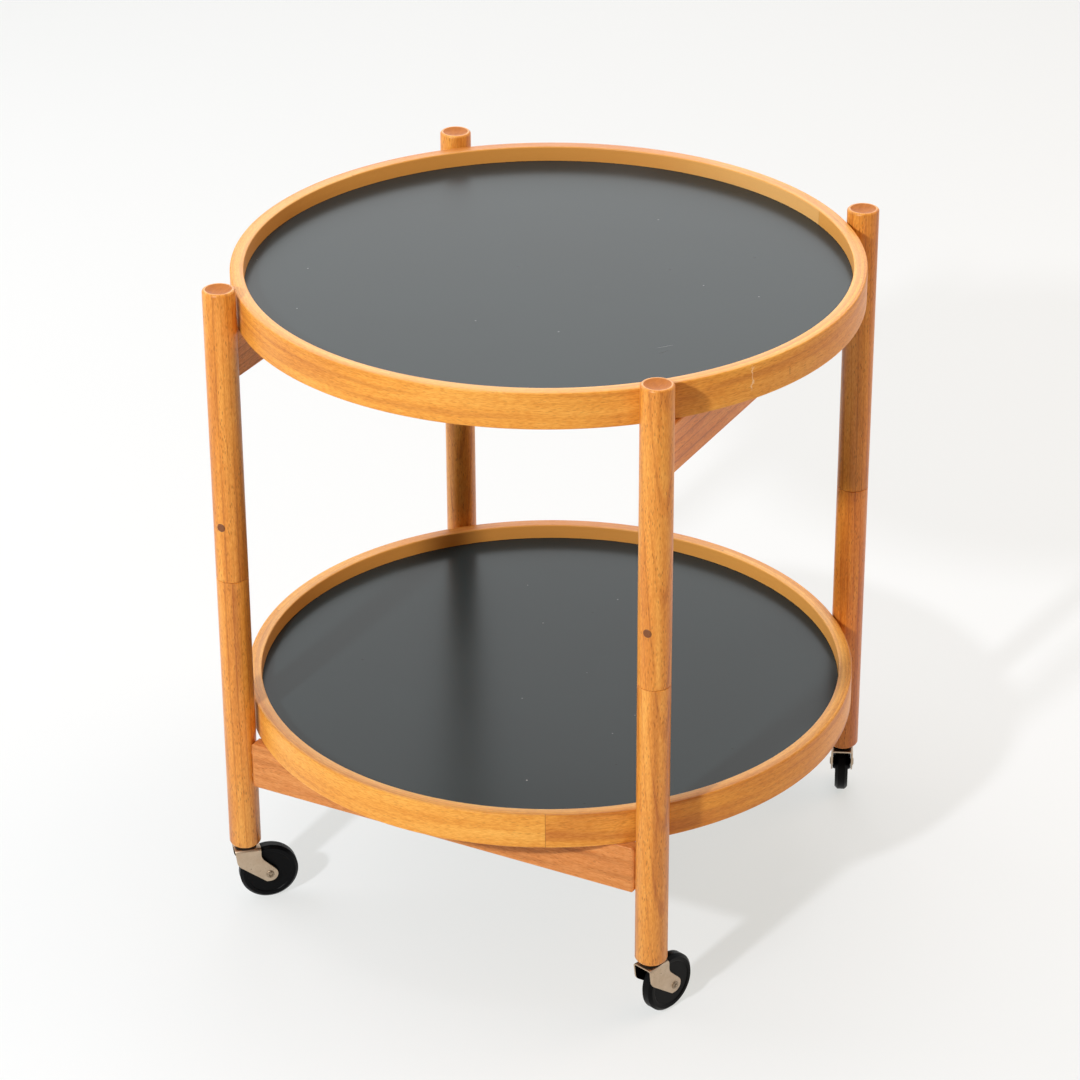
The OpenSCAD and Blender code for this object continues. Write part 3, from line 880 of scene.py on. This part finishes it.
@dataclass
class LegMaker:
    """Turns the two halves of a leg once each and sets a copy at every corner.

    One of the eight halves is cut from a redder board than the rest.
    """

    upper: OiledBeech
    lower: OiledBeech
    redder_half: str = "lower_leg_rear_right"
    redder_tones: tuple[str, str, str] = ("#E79E44", "#D17E2E", "#A85722")
    top_round: float = 2.2 * MM
    dish_depth: float = 2.4 * MM
    dish_ring: float = 0.4 * MM
    foot_chamfer: float = 2.6 * MM
    seam_chamfer: float = 0.6 * MM
    pivot_bore: float = 14.2 * MM
    pivot_rise: float = 78.8 * MM
    pivot_depth: float = 70 * MM
    sleeve_bore: float = 11.1 * MM
    sleeve_depth: float = 41 * MM
    flange_bore: float = 17.1 * MM
    flange_depth: float = 1 * MM
    steps: int = 96

    def build(self) -> None:
        """Makes the eight leg halves."""
        for part, outline, finish in (
            ("upper_leg", self.upper_outline(), self.upper),
            ("lower_leg", self.lower_outline(), self.lower),
        ):
            master = turned(f"{part}_master", outline, self.steps)
            material = finish.material()
            for node in (f"{part}_{corner}" for corner in CORNERS):
                centre = sum(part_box(node), Vector()) / 2
                copy = placed_copy(master, f"{node}_turned", Matrix.Translation((centre.x, centre.y, 0)))
                if node == self.redder_half:
                    redder = replace(finish, name=f"{finish.name}_redder", tones=self.redder_tones)
                    fit_out(copy, node, redder.material())
                else:
                    fit_out(copy, node, material)
            bpy.data.objects.remove(master)

    def upper_outline(self) -> Outline:
        """Outline from the top of the pivot's bore round to the middle of the dish.

        Returns:
            The outline.
        """
        low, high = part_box("upper_leg_front_left")
        r, bore, c, top_r = (high.x - low.x) / 2, self.pivot_bore / 2, self.seam_chamfer, self.top_round
        dish_r = r - top_r - self.dish_ring
        ball = (dish_r**2 + self.dish_depth**2) / (2 * self.dish_depth)
        rim = math.degrees(math.asin(dish_r / ball))
        return [(0, low.z + self.pivot_rise), (bore, low.z + self.pivot_rise), (bore, low.z),
                (r - c, low.z), (r, low.z + c), *arc((r - top_r, high.z - top_r), top_r, 0, 90, 8),
                *arc((0, high.z - self.dish_depth + ball), ball, rim - 90, -90, 10)]

    def lower_outline(self) -> Outline:
        """Outline from the top of the socket's hole round to the bottom of the pivot's hole.

        Returns:
            The outline.
        """
        low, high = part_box("lower_leg_front_left")
        r, c, f = (high.x - low.x) / 2, self.seam_chamfer, self.foot_chamfer
        sleeve, flange, pivot = self.sleeve_bore / 2, self.flange_bore / 2, self.pivot_bore / 2
        ceiling, ledge = low.z + self.sleeve_depth, low.z + self.flange_depth
        hole = high.z - self.pivot_depth
        return [(0, ceiling), (sleeve, ceiling), (sleeve, ledge), (flange, ledge), (flange, low.z),
                (r - f, low.z), (r - f * 0.3, low.z + f * 0.7), (r, low.z + f * 1.3), (r, high.z - c),
                (r - c, high.z), (pivot, high.z), (pivot, hole), (0, hole)]


@dataclass
class RailMaker:
    """Planes a rail once, rounded in three directions, and sets the four copies."""

    along_x: OiledBeech
    along_y: OiledBeech
    corner: float = 5 * MM
    end_round: float = 4 * MM
    edge_round: float = 2 * MM

    def build(self) -> None:
        """Makes the four rails."""
        low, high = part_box("front_rail")
        size, centre = high - low, Vector()
        master = block("rail_master", size, centre, lambda way: abs(way.z) > 0.9, self.end_round)
        seen_from_side = block("rail_side", size, centre, lambda way: abs(way.y) > 0.9, self.corner)
        section = block("rail_section", size, centre, lambda way: abs(way.x) > 0.9, self.edge_round)
        keep_common(master, seen_from_side)
        keep_common(master, section)
        tidy_mesh(master)
        for finish, turn, names in (
            (self.along_x, 0.0, ("front_rail", "rear_rail")),
            (self.along_y, math.pi / 2, ("left_rail", "right_rail")),
        ):
            material = finish.material()
            for name in names:
                low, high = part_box(name)
                place = Matrix.Translation((low + high) / 2) @ Matrix.Rotation(turn, 4, "Z")
                fit_out(placed_copy(master, f"{name}_planed", place), name, material)
        bpy.data.objects.remove(master)


@dataclass
class PinMaker:
    """Turns the locking pin with its slightly dished head."""

    finish: Material
    head_d: float = 7.6 * MM
    tip_d: float = 5 * MM
    tip_start: float = 4.9 * MM
    shank_start: float = 7.4 * MM
    steps: int = 32

    def build(self) -> None:
        """Makes the four pins."""
        low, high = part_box("upper_leg_front_left")
        leg_r = (high.x - low.x) / 2
        pin_low, pin_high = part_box("locking_pin_front_left")
        proud = low.y - pin_low.y
        head, tip = self.head_d / 2, self.tip_d / 2
        outline = [(0, self.tip_start), (tip, self.tip_start), (tip, self.shank_start),
                   (head, self.shank_start),
                   *((head * out, leg_r + proud * up)
                     for out, up in ((1, 0.1), (0.9, 0.7), (0.7, 1), (0.45, 0.8), (0, 0.5)))]
        master = turned("pin_master", outline, self.steps)
        height = (pin_low.z + pin_high.z) / 2
        for corner in CORNERS:
            low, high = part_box(f"upper_leg_{corner}")
            side = -1 if corner.startswith("front") else 1
            place = (Matrix.Translation(((low.x + high.x) / 2, (low.y + high.y) / 2, height))
                     @ Matrix.Rotation(-side * math.pi / 2, 4, "X"))
            node = f"locking_pin_{corner}"
            fit_out(placed_copy(master, f"{node}_turned", place), node, self.finish)
        bpy.data.objects.remove(master)


@dataclass
class CasterMaker:
    """Makes a caster once, about its swivel axis, and sets a copy under every leg."""

    plate_metal: Material
    rivet_metal: Material
    bright_metal: Material
    black: Material
    collar_black: Material
    axle_drop: float = 32 * MM
    trail: float = 20 * MM
    fork_w: float = 20.5 * MM
    fork_t: float = 1.6 * MM
    fork_bend: float = 2.6 * MM
    plate_front: float = 11.5 * MM
    plate_back: float = 12.5 * MM
    plate_drop: float = 3.5 * MM
    cheek_depth: float = 16 * MM
    cheek_end_r: float = 7.3 * MM
    cheek_slant: float = 2 * MM
    cheek_toe: float = 3.5 * MM
    cheek_round: float = 9 * MM
    neck_r: float = 9 * MM
    edge_round: float = 0.3 * MM
    wheel_d: float = 54 * MM
    tread_w: float = 12 * MM
    tread_chamfer: float = 2.2 * MM
    band_w: float = 3.5 * MM
    face_recess: float = 0.7 * MM
    hub_d: float = 15 * MM
    axle_d: float = 5 * MM
    hub_w: float = 16.7 * MM
    rivet_d: float = 7.4 * MM
    rivet_h: float = 1.1 * MM
    collar_d: float = 21 * MM
    collar_h: float = 3.2 * MM
    stem_d: float = 8 * MM
    stem_head_d: float = 11.4 * MM
    stem_head_h: float = 1.4 * MM
    running: float = 0.1 * MM

    def build(self) -> None:
        """Makes the four casters."""
        parts = {part: turned(f"{part}_master", outline, steps)
                 for part, (outline, steps) in self.outlines().items()}
        axle = Matrix.Translation((self.trail, 0, -self.axle_drop))
        for part in ("wheel", "axle"):
            parts[part].matrix_world = axle @ Matrix.Rotation(math.pi / 2, 4, "X")
            tidy_mesh(parts[part])
        parts["fork"] = self.fork()
        finishes = {"fork": self.plate_metal, "wheel": self.black, "axle": self.rivet_metal,
                    "collar": self.collar_black, "stem": self.bright_metal}
        for corner in CORNERS:
            low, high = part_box(f"lower_leg_{corner}")
            wheel_low, wheel_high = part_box(f"wheel_{corner}")
            under = Vector(((low.x + high.x) / 2, (low.y + high.y) / 2, low.z))
            to_axle = (wheel_low + wheel_high) / 2 - under
            place = Matrix.Translation(under) @ Matrix.Rotation(math.atan2(to_axle.y, to_axle.x), 4, "Z")
            for part, finish in finishes.items():
                copy = placed_copy(parts[part], f"{part}_{corner}_made", place)
                fit_out(copy, f"{part}_{corner}", finish)
        for master in parts.values():
            bpy.data.objects.remove(master)

    def fork(self) -> Piece:
        """Bends a channel out of sheet and cuts its cheeks to their outline.

        Returns:
            The fork.
        """
        half, top, bend = self.fork_w / 2, -self.plate_drop, self.fork_bend
        low = -self.axle_drop - self.cheek_end_r - MM
        section = [(-half, low), *arc((-half + bend, top - bend), bend, 180, 90),
                   *arc((half - bend, top - bend), bend, 90, 0), (half, low)]
        start = -self.plate_front - MM
        channel = sketch("fork_master", [Vector((start, y, z)) for y, z in section])
        reach = self.plate_front + self.trail + self.cheek_end_r + 2 * MM
        bpy.ops.mesh.extrude_region_move(TRANSFORM_OT_translate={"value": (reach, 0, 0)})
        tidy_mesh(channel)
        middle = channel.data.polygons[len(channel.data.polygons) // 2]
        inward = -1 if middle.normal.z > 0 or middle.center.z < top - bend else 1
        apply_modifier(channel, "SOLIDIFY", thickness=self.fork_t, offset=inward)
        outline = self.cheek()
        plate = sketch("fork_cheek", [Vector((x, -self.fork_w, z)) for x, z in outline])
        bpy.ops.mesh.edge_face_add()
        bpy.ops.mesh.extrude_region_move(TRANSFORM_OT_translate={"value": (0, 2 * self.fork_w, 0)})
        tidy_mesh(plate)
        keep_common(channel, plate)
        apply_modifier(channel, "BEVEL", width=self.edge_round, segments=2, limit_method="ANGLE",
                       angle_limit=math.radians(50))
        tidy_mesh(channel)
        # Marks the faces inside the fork, where its finish paints shade
        inside = channel.data.attributes.new(INSIDE, "FLOAT", "FACE")
        for face in channel.data.polygons:
            on_cheek = face.center.y * face.normal.y < -0.5 * half
            under_plate = face.normal.z < -0.7 and face.center.z > top - 2 * self.fork_t
            inside.data[face.index].value = float(on_cheek or under_plate)
        return channel

    def cheek(self) -> Outline:
        """Outline of the cheeks, X along the heading, from the foot of the leg down.

        Returns:
            The outline.
        """
        end = (self.trail, -self.axle_drop)
        corner_z = end[1] + self.cheek_end_r * math.sqrt(2) + self.trail - self.plate_back
        tangent = self.neck_r * math.tan(math.pi / 8)
        neck = (self.plate_back + self.neck_r, corner_z + tangent)
        front_top = (-self.plate_front, -self.plate_drop)
        front_low = (self.cheek_slant - self.plate_front, -self.plate_drop - self.cheek_depth)
        toe = (self.trail - self.cheek_toe, end[1] - self.cheek_end_r)
        return [(-self.plate_front, 0), front_top,
                *rounded_corner(front_top, front_low, toe, self.cheek_round), toe,
                *arc(end, self.cheek_end_r, -90, 45, 10), *arc(neck, self.neck_r, 225, 180, 8),
                (self.plate_back, 0)]

    def outlines(self) -> dict[str, tuple[Outline, int]]:
        """Outlines of the turned parts: wheel, axle rivet, pressed cups of the bearing, and swivel stem.

        The wheel has a tread, a raised band, a recessed face and a hub. The rivet's ends are
        peened over with a small crater, and so is the lower end of the stem.

        Returns:
            For each part its outline, and the number of steps round.
        """
        half, c = self.tread_w / 2, self.tread_chamfer
        wheel_r, edge_r = self.wheel_d / 2, self.wheel_d / 2 - c
        band_r, face, bore = edge_r - self.band_w, half - self.face_recess, self.axle_d / 2 + self.running
        hub_r, hub = self.hub_d / 2, self.hub_w / 2
        side = [(bore, hub), (hub_r - 0.6 * MM, hub), (hub_r, hub - 0.6 * MM), (hub_r + 0.8 * MM, face),
                (band_r - self.face_recess, face), (band_r - 0.2 * MM, half - 0.15 * MM),
                (band_r + 0.3 * MM, half), (edge_r - 0.4 * MM, half),
                *arc((edge_r - c, half - 2 * c), 2 * c, 60, 30, 4), (wheel_r, half - c - 0.4 * MM)]
        wheel = [*side, *((r, -z) for r, z in reversed(side)), side[0]]

        r, head, half, h = self.axle_d / 2, self.rivet_d / 2, self.fork_w / 2, self.rivet_h
        crown = ((1, 0), (1, 0.35), (0.82, 0.85), (0.6, 1), (0.46, 0.8), (0.36, 0.1), (0, 0))
        side = [(r, half - MM), (r, half), *((head * out, half + h * up) for out, up in crown)]
        axle = [*((x, -z) for x, z in reversed(side)), *side]

        r, h, bore = self.collar_d / 2, self.collar_h, self.stem_d / 2 + self.running
        cups = ((1.6, 1), (0.7, 0.86), (0.6, 0.62), (1.5, 0.55), (1.5, 0.45), (0.3, 0.4), (0, 0.25),
                (0.4, 0))
        collar = [(bore, -h), *((r - inward * MM, -h * down) for inward, down in cups), (bore, 0),
                  (bore, -h)]

        low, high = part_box("stem_front_left")
        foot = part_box("lower_leg_front_left")[0].z
        top, bottom = high.z - foot, low.z - foot
        r, head, h = self.stem_d / 2, self.stem_head_d / 2, self.stem_head_h
        crown = ((0, 0.35), (0.35, 0.3), (0.5, 0), (0.85, 0.2), (1, 0.6), (1, 1))
        stem = [*((head * out, bottom + h * up) for out, up in crown),
                (r, bottom + h), (r, top - 2 * MM), (r - 2 * MM, top), (0, top)]
        return {"wheel": (wheel, 96), "axle": (axle, 40), "collar": (collar, 56), "stem": (stem, 40)}


@dataclass(frozen=True)
class Lamp:
    """Round studio lamp that faces the middle of the object."""

    name: str
    place: Triple
    size: float
    power: float
    colour: str = "#FFFFFF"
    mirrored: bool = False
    aim_height: float = 0.35

    def hang(self) -> None:
        """Hangs the lamp.

        A gloss already mirrors the pale sky, so it mirrors only the lamps that show in the photograph.
        """
        light = bpy.data.lights.new(self.name, "AREA")
        light.shape = "DISK"
        light.size = self.size
        light.energy = self.power
        light.color = linear(self.colour)[:3]
        lamp = bpy.data.objects.new(self.name, light)
        way = Vector((0, 0, self.aim_height)) - Vector(self.place)
        lamp.rotation_euler = way.to_track_quat("-Z", "Y").to_euler()
        lamp.location = self.place
        lamp.visible_glossy = self.mirrored
        bpy.context.scene.collection.objects.link(lamp)


@dataclass
class Studio:
    """Plain pale floor, soft light from all round and one lamp from the front left."""

    sky: str = "#FAFBFC"
    glow: str = "#F9FBF8"
    glow_strength: float = 0.96
    lit_floor: str = "#F0F3FA"
    floor_size: float = 60.0
    floor_share: float = 0.35
    floor_reach: float = 0.9
    sky_reach: float = 0.7
    fill: float = 0.15
    fill_colour: str = "#FFDFC2"
    bounce: str = "#E8DDCE"
    dim_front: float = 0.1
    lamps: tuple[Lamp, ...] = (
        Lamp("front_lamp", (-0.27, -3.6, 2.48), 0.24, 124.0, mirrored=True),
        Lamp("overhead_box", (0.0, 0.4, 3.6), 2.4, 48.0),
        Lamp("left_box", (-2.4, -0.1, 1.6), 2.8, 38.0),
        Lamp("right_box", (2.3, 2.1, 1.7), 2.8, 46.0, "#FFDCBA"),
        Lamp("backdrop_box", (-1.6, 3.0, 2.3), 2.8, 36.0, mirrored=True),
    )
    camera_place: Triple = (1.3583, -2.5786, 1.8392)
    azimuth: float = math.radians(27.95)
    elevation: float = math.radians(27.49)
    roll: float = math.radians(-0.3004)
    focal_px: float = 3655.9
    photo_px: float = 1080.0
    sensor: float = 36.0

    def build(self) -> None:
        """Sets the camera, the floor, the sky and the lamps."""
        self.camera()
        self.ground()
        self.heaven()
        for lamp in self.lamps:
            lamp.hang()
        bpy.context.scene.view_settings.view_transform = "Standard"

    def camera(self) -> None:
        """Stands the camera where the photograph's camera stood."""
        data = bpy.data.cameras.new("photograph")
        data.sensor_width = self.sensor
        data.lens = self.focal_px / self.photo_px * self.sensor
        camera = bpy.data.objects.new("photograph", data)
        bpy.context.scene.collection.objects.link(camera)
        a, e = self.azimuth, self.elevation
        back = Vector((math.sin(a) * math.cos(e), -math.cos(a) * math.cos(e), math.sin(e)))
        level = Vector((math.cos(a), math.sin(a), 0))
        right = level * math.cos(self.roll) + back.cross(level) * math.sin(self.roll)
        axes = Matrix((right, back.cross(right), back)).transposed().to_4x4()
        camera.matrix_world = Matrix.Translation(self.camera_place) @ axes
        bpy.context.scene.camera = camera

    def seen(self, tree: Tree, place: str, reach: float) -> Socket:
        """Adds nodes that tell the rays that see the studio from those that only light the object.

        The room behind the photographer is dim, so a gloss that faces it shows less of the pale studio.

        Args:
            tree: Node tree of the floor or the sky.
            place: Coordinates that tell where in the studio the ray ends.
            reach: Distance to the front over which the floor or the sky dims.

        Returns:
            1 for camera and transmission rays, up to 1 for glossy rays, and 0 for the rest.
        """
        rays = add(tree, "LightPath").node.outputs
        camera, glossy, through = (
            rays[f"Is {kind} Ray"] for kind in ("Camera", "Glossy", "Transmission"))
        where = add(tree, "TexCoord", out=place)
        away = (-math.sin(self.azimuth), math.cos(self.azimuth), 0)
        depth = add(tree, "VectorMath DOT_PRODUCT", (where, away), "Value")
        lit = add(tree, "MapRange", (depth, -reach, 0.0, self.dim_front, 1.0), **SMOOTH)
        mirrored = add(tree, "Math MULTIPLY", (glossy, lit))
        either = add(tree, "Math MAXIMUM", (camera, mirrored))
        return add(tree, "Math MAXIMUM", (either, through))

    def ground(self) -> None:
        """Lays the floor."""
        select()
        bpy.ops.mesh.primitive_plane_add(size=self.floor_size)
        floor = bpy.context.object
        floor.name = "studio_floor"
        material, tree, shader = new_material("studio_floor")
        matt = add(tree, "BsdfDiffuse", {"Color": linear(self.lit_floor)})
        dull = add(tree, "BsdfDiffuse", {"Color": linear(self.bounce)})
        glow = add(tree, "Emission", {"Color": linear(self.glow), "Strength": self.glow_strength})
        pale = add(tree, "MixShader", (self.floor_share, glow, matt))
        both = add(tree, "MixShader", (self.seen(tree, "Object", self.floor_reach), dull, pale))
        feed(tree.nodes["Material Output"], {"Surface": both})
        tree.nodes.remove(shader)
        floor.data.materials.append(material)
        floor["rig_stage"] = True

    def heaven(self) -> None:
        """Makes the pale surroundings, which light the object less than they show."""
        world = bpy.data.worlds.new("studio")
        bpy.context.scene.world = world
        world.use_nodes = True
        tree = world.node_tree
        shown = add(tree, "Background", {"Color": linear(self.sky), "Strength": 1.0})
        soft = add(tree, "Background", {"Color": linear(self.fill_colour), "Strength": self.fill})
        mixed = add(tree, "MixShader", (self.seen(tree, "Generated", self.sky_reach), soft, shown))
        feed(tree.nodes["World Output"], {"Surface": mixed})


def main() -> None:
    """Builds the trolley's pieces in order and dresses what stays."""
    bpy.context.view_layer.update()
    Studio().build()

    upper_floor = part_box("upper_tray_panel")[1].z - 0.25 * MM
    dash = Mark((0.161, -0.102, upper_floor), turn=math.radians(61), colour="#050606", strength=0.9,
                half_size=(5.5 * MM, 0.7 * MM, 5 * MM), wander=0.6 * MM)
    scratch = Mark((0.157, -0.092, upper_floor), turn=math.radians(50), colour="#8E9292", strength=0.5,
                   half_size=(9 * MM, 0.35 * MM, 5 * MM), wander=0.6 * MM)
    speck = Mark((0.072, -0.181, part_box("lower_tray_panel")[1].z), turn=0.0, colour="#D8DAD8",
                 strength=0.9, half_size=(0.8 * MM, 0.8 * MM, 2 * MM))
    rims = OiledBeech(
        "beech_upper_rim", Grain.ROUND_HOOP, ("#F2B95C", "#E4A044", "#BC7030"), ring_strength=0.06,
        streak_strength=0.22, tick_strength=0.3, sheen_level=0.28, roughness=0.38)
    low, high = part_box("upper_tray_rim")
    r, middle = high.x, (low.z + high.z) / 2
    scuffs = tuple(
        Mark((r * math.cos(turn), r * math.sin(turn), middle + lift), turn, half_size, colour, strength,
             wander)
        for turn, lift, half_size, colour, strength, wander in (
            (math.radians(-25.2), 4 * MM, (3 * MM, 0.9 * MM, 13 * MM), "#F6DDB6", 0.7, 14 * MM),
            (math.radians(-16.3), -3 * MM, (3 * MM, 0.5 * MM, 4.5 * MM), "#8A4E20", 0.8, MM)))
    TrayMaker(
        "upper_tray", replace(rims, seam_angle=math.radians(126.9), marks=scuffs),
        PressedLaminate("pressed_laminate_scratched", marks=(dash, scratch)).material()).build()
    TrayMaker(
        "lower_tray",
        replace(rims, name="beech_lower_rim", seam_angle=math.radians(-63.2), shift=(0.4, 0.1, 0.2)),
        PressedLaminate(marks=(speck,)).material()).build()

    leg_low, leg_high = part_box("upper_leg_rear_right")
    LegMaker(
        OiledBeech("beech_upper_legs", Grain.ALONG_Z, end_level=leg_high.z - 1.4 * MM,
                   leg_axis=(leg_low.x + leg_high.x) / 2),
        OiledBeech("beech_lower_legs", Grain.ALONG_Z, ("#F0B45A", "#E09840", "#B66A2B"),
                   shift=(0.31, 0.016, 0.05)),
    ).build()
    rails = OiledBeech(
        "beech_lower_rails", Grain.ALONG_X, ("#E0A160", "#D28C4E", "#AE6E3A"), ring_width=13 * MM,
        ring_strength=0.1, streak_strength=0.2, tick_strength=0.45, sheen_level=0.3)
    RailMaker(rails, replace(
        rails, name="beech_upper_rails", grain=Grain.ALONG_Y, tones=("#F2AB5C", "#E6974A", "#C07232"),
        shift=(0.2, 0.0, 0.1), ring_width=8 * MM, ring_strength=0.24)).build()
    PinMaker(PlainWood("dark_oiled_pin", "#8A5228", "#5E3315", (900, 150, 900)).material()).build()
    bright = Metal("turned_steel", "#B5B2AD", "#8F8B85", 0.34).material()
    CasterMaker(
        plate_metal=Metal("zinc_plated_sheet", "#D2BEA6", "#B6A088", 0.36).material(),
        rivet_metal=Metal("zinc_plated_rivet", "#C6B49D", "#7C6A56", 0.36, 2 * MM, 0.5).material(),
        bright_metal=bright,
        black=MouldedBlack("moulded_wheel_black", "#08090B", "#191B1E", 0.3, 0.09).material(),
        collar_black=MouldedBlack("blackened_cups", "#1A1412", "#4A4038", 0.4).material(),
    ).build()
    recolour(sorted(node for node in frame["nodes"] if node.startswith("socket_")), bright)
    recolour(sorted(node for node in frame["nodes"] if "dowel" in node),
             PlainWood("beech_dowels", "#D9B083", "#BC8C5C", (300, 300, 90)).material())

    low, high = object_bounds()


if __name__ == "__main__":
    logging.basicConfig(level=logging.INFO, format="%(message)s")
    main()
